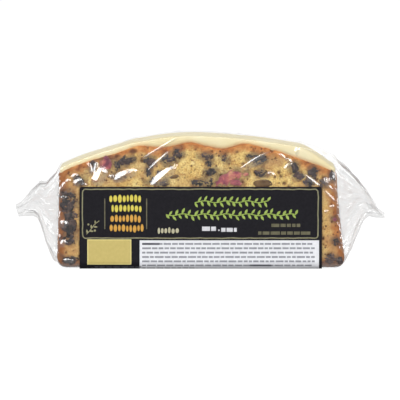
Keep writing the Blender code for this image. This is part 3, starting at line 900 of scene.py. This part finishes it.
def bar(left, right, low, high):
    """A rectangle in x and s, in mm, cut into rows short enough to follow the label's bend."""
    rows = 1
    if low * MM < LABEL_BEND:
        rows = math.ceil((high - low) / 0.6)
    levels = np.linspace(low, high, rows + 1)
    return [((left, a), (right, a), (right, b), (left, b)) for a, b in zip(levels, levels[1:])]


def leaf(x, s, length, width, degrees):
    """A pointed oval that grows from x, s."""
    angle = math.radians(degrees)
    along = (math.cos(angle), math.sin(angle))
    shape = ((0.0, 0.0), (0.25, 0.38), (0.55, 0.5), (0.82, 0.28), (1.0, 0.0), (0.82, -0.28), (0.55, -0.5),
             (0.25, -0.38))
    return [tuple((x + length * a * along[0] - width * b * along[1],
                   s + length * a * along[1] + width * b * along[0]) for a, b in shape)]


def disc(x, s, width, height, points=14):
    turns = [2 * math.pi * i / points for i in range(points)]
    return [tuple((x + width / 2 * math.cos(t), s + height / 2 * math.sin(t)) for t in turns)]


def stroke(line, width):
    """A line of even width through points in x and s."""
    shapes = []
    for (x0, s0), (x1, s1) in zip(line, line[1:]):
        length = math.hypot(x1 - x0, s1 - s0)
        nx = -(s1 - s0) / length * width / 2
        ns = (x1 - x0) / length * width / 2
        shapes.append(((x0 + nx, s0 + ns), (x0 - nx, s0 - ns), (x1 - nx, s1 - ns), (x1 + nx, s1 + ns)))
    return shapes


def garland(left, right, s, rng):
    """A waving stem with small leaves on both sides."""
    xs = np.arange(left, right + 0.1, 0.6)
    shapes = stroke([(x, s + 0.5 * math.sin(x / 1.9)) for x in xs], 0.5)
    for index, x in enumerate(np.arange(left, right, 1.75)):
        up = 1 if index % 2 else -1
        stem = s + 0.5 * math.sin(x / 1.9)
        shapes += leaf(x, stem, rng.uniform(2.9, 3.7), rng.uniform(1.2, 1.6), up * rng.uniform(48, 66))
    return shapes


def beads(left, right, s, height, rng):
    """A row of upright ovals of slightly uneven size."""
    shapes = []
    x = left
    while x < right:
        width = rng.uniform(1.3, 2.2)
        shapes += disc(x + width / 2, s + rng.uniform(-0.3, 0.3), width, height * rng.uniform(0.8, 1.05))
        x += width + 0.45
    return shapes


def word_bars(left, right, s, height, rng, longest=7.0):
    """Short bars in a row, as far apart as printed words."""
    shapes = []
    x = left
    while x < right - 1.5:
        end = min(right, x + rng.uniform(1.6, longest))
        shapes += bar(x, end, s - height / 2, s + height / 2)
        x = end + 0.6
    return shapes


def frame_line(left, right, low, high, corner, rng):
    """A closed hand-drawn line with rounded corners."""
    line = []
    for x, s, start in ((right, high, 0), (left, high, 90), (left, low, 180), (right, low, 270)):
        inward_x = -1 if x > left else 1
        inward_s = -1 if s > low else 1
        for step in range(5):
            angle = math.radians(start + 90 * step / 4)
            line.append((x + inward_x * corner + corner * math.cos(angle),
                         s + inward_s * corner + corner * math.sin(angle)))
    line.append(line[0])
    drawn = []
    for (x0, s0), (x1, s1) in zip(line, line[1:]):
        count = max(1, round(math.hypot(x1 - x0, s1 - s0) / 3))
        drawn += [(x0 + (x1 - x0) * i / count, s0 + (s1 - s0) * i / count) for i in range(count)]
    wavy = [(x + rng.uniform(-0.16, 0.16), s + rng.uniform(-0.16, 0.16)) for x, s in drawn]
    return stroke(wavy + wavy[:1], 0.62)


def sprig(x, s):
    """A small twig with leaves and two berries."""
    shapes = stroke([(x, s), (x + 2.4, s + 2.6), (x + 4.4, s + 5.4), (x + 7.0, s + 7.4)], 0.4)
    for along, side in ((0.4, 1), (1.6, -1), (2.8, 1), (3.8, -1), (5.0, 1)):
        shapes += leaf(x + along, s + 1.08 * along, 2.3, 1.0, 47 + 50 * side)
    return shapes + disc(x + 4.6, s + 2.0, 1.2, 1.2) + disc(x + 1.0, s + 5.4, 1.1, 1.1)


def printed(name, shapes, dark, light, layer=1):
    """One colour of ink, as thin flat shapes laid on the label."""
    points = []
    faces = []
    for shape in shapes:
        faces.append(range(len(points), len(points) + len(shape)))
        points += [on_label(x * MM, s * MM, PRINT_LIFT * layer) for x, s in shape]
    obj = add_object(name, mesh_from(name, points, faces), ink_material(name, dark, light), smooth=False)
    return piece(obj, "label_print")


def label_print():
    """Generic print: a frame, a gold field, a white panel with bars for its text, garlands and beads."""
    rng = random.Random(31)
    printed("print_frame", frame_line(-64.6, 65.9, 17.2, 44.3, 1.6, rng), (132, 130, 100), (158, 154, 122))
    uprights = bar(-52.6, -52.0, 22.2, 39.2) + bar(-29.4, -28.8, 22.2, 39.2)
    dim = word_bars(40.0, 56.0, 24.3, 1.8, rng, 5.5) + word_bars(32.7, 61.8, 20.0, 1.8, rng, 5.5)
    printed("print_grey_olive", uprights + dim, (92, 90, 70), (118, 114, 90))
    printed("print_gold_rim", bar(-62.0, -37.6, 2.4, 16.5), (226, 214, 140), (236, 224, 152))
    printed("print_gold", bar(-61.5, -38.1, 2.9, 16.0), (200, 182, 110), (207, 189, 118), 2)
    panel = bar(-33.0, 66.4, -36.0, 16.0)
    printed("print_white", panel, (232, 233, 238), (242, 243, 247))
    text = []
    for row in range(6):
        text += word_bars(-31.6, 64.0, 14.0 - 2.42 * row, 1.0, rng, 5.0)
    text += word_bars(-31.6, -1.0, -0.4, 0.9, rng, 5.0)
    printed("print_text_bars", text, (142, 144, 150), (162, 164, 170), 2)
    heading = bar(-31.6, -22.0, 13.45, 14.55) + bar(28.0, 40.0, 1.35, 2.45)
    printed("print_dark_bars", heading + word_bars(-58.0, -30.5, 0.7, 0.7, rng, 4.0), (88, 90, 98), (104, 106, 112), 3)
    lime = garland(-2.5, 38.4, 37.4, rng) + garland(-18.4, 53.6, 30.2, rng)
    printed("print_lime", lime, (150, 174, 80), (172, 194, 102))
    yellow = beads(-49.8, -32.4, 39.1, 4.4, rng) + beads(-48.6, -31.6, 33.6, 4.2, rng)
    printed("print_yellow", yellow, (212, 196, 76), (226, 212, 98))
    printed("print_sprig", sprig(-62.4, 19.4), (150, 146, 110), (172, 168, 130))
    orange = beads(-49.2, -32.2, 27.9, 4.2, rng) + beads(-49.6, -31.4, 22.6, 4.2, rng)
    printed("print_orange", orange, (208, 154, 66), (222, 172, 80))
    printed("print_cream", beads(-23.0, -13.0, 21.3, 3.4, rng), (184, 179, 150), (200, 195, 166))
    white = word_bars(1.6, 9.4, 22.4, 2.4, rng, 4.5) + disc(10.9, 21.6, 0.9, 0.9) + word_bars(12.2, 20.8, 21.8, 2.2,
                                                                                            rng, 4.5)
    printed("print_white_bars", white, (208, 208, 212), (222, 222, 226))


def build_scene():
    cake()
    fruit()
    marzipan()
    film()
    label_sheet()
    label_print()


def softbox(name, place, width, height, radiance, mirrored=True):
    light = bpy.data.lights.new(name, "AREA")
    light.shape = "RECTANGLE"
    light.size = width
    light.size_y = height
    light.energy = radiance * math.pi * width * height
    lamp = bpy.data.objects.new(name, light)
    lamp.location = place
    lamp.rotation_euler = (Vector((0, 0, 0.04)) - Vector(place)).to_track_quat("-Z", "Y").to_euler()
    lamp.visible_glossy = mirrored
    bpy.context.scene.collection.objects.link(lamp)


def studio():
    """A plain white floor and backdrop, two tall softboxes, one overhead, and the camera."""
    scene = bpy.context.scene
    world = bpy.data.worlds.new("studio")
    scene.world = world
    world.use_nodes = True
    tree = world.node_tree
    background = tree.nodes["Background"]
    direction = tree.nodes.new("ShaderNodeSeparateXYZ")
    tree.links.new(tree.nodes.new("ShaderNodeTexCoord").outputs["Generated"], direction.inputs[0])
    backdrop = tree.nodes.new("ShaderNodeMapRange")
    backdrop.interpolation_type = "SMOOTHSTEP"
    for name, value in (("From Min", -0.3), ("From Max", 0.5), ("To Min", 0.24), ("To Max", 0.80)):
        backdrop.inputs[name].default_value = value
    tree.links.new(direction.outputs["Y"], backdrop.inputs["Value"])
    either = tree.nodes.new("ShaderNodeMath")
    either.operation = "MAXIMUM"
    path = tree.nodes.new("ShaderNodeLightPath")
    tree.links.new(backdrop.outputs[0], either.inputs[0])
    tree.links.new(path.outputs["Is Camera Ray"], either.inputs[1])
    tree.links.new(either.outputs[0], background.inputs["Color"])

    mesh = mesh_from("floor", [(-8, -8, 0), (8, -8, 0), (8, 8, 0), (-8, 8, 0)], [(0, 1, 2, 3)])
    sh = Shader("floor_white")
    across = sh.add("SeparateXYZ", {0: sh.position()}).outputs["Y"]
    lit = sh.add("MapRange", {"Value": across, "From Min": -0.1, "From Max": 0.5, "To Min": 0.05, "To Max": 0.85})
    path = sh.add("LightPath")
    strength = sh.add("Mix", {0: path.outputs["Is Camera Ray"], 2: lit.outputs[0], 3: 0.95})
    glow = sh.add("Emission", {"Color": rgba(1.0), "Strength": strength.outputs[0]})
    matte = sh.add("BsdfDiffuse", {"Color": rgba(0.16)})
    both = sh.add("AddShader", {0: glow.outputs[0], 1: matte.outputs[0]})
    add_object("floor", mesh, sh.surface(both.outputs[0]))

    softbox("left_softbox", (-0.78, -1.32, 0.55), 0.72, 1.1, 4.7)
    softbox("right_softbox", (0.80, -1.30, 0.55), 0.66, 1.1, 4.7)
    softbox("top_softbox", (0.0, -1.10, 0.98), 1.0, 0.45, 3.0)
    softbox("rear_softbox", (0.0, 1.60, 0.55), 2.0, 0.7, 1.8, mirrored=False)

    camera = bpy.data.cameras.new("camera")
    camera.sensor_width = 36
    distance = 4.0
    frame_width = 0.2216
    camera.lens = camera.sensor_width * distance / frame_width
    camera.clip_start = 0.05
    camera.clip_end = 100
    viewer = bpy.data.objects.new("camera", camera)
    target = Vector((0.45 * MM, FRONT_Y, 38.3 * MM))
    elevation = math.radians(3)
    viewer.location = target + distance * Vector((0, -math.cos(elevation), math.sin(elevation)))
    viewer.rotation_euler = (math.pi / 2 - elevation, 0, 0)
    scene.collection.objects.link(viewer)
    scene.camera = viewer
    scene.view_settings.view_transform = "Standard"
    scene.cycles.transparent_max_bounces = 32


build_scene()
studio()
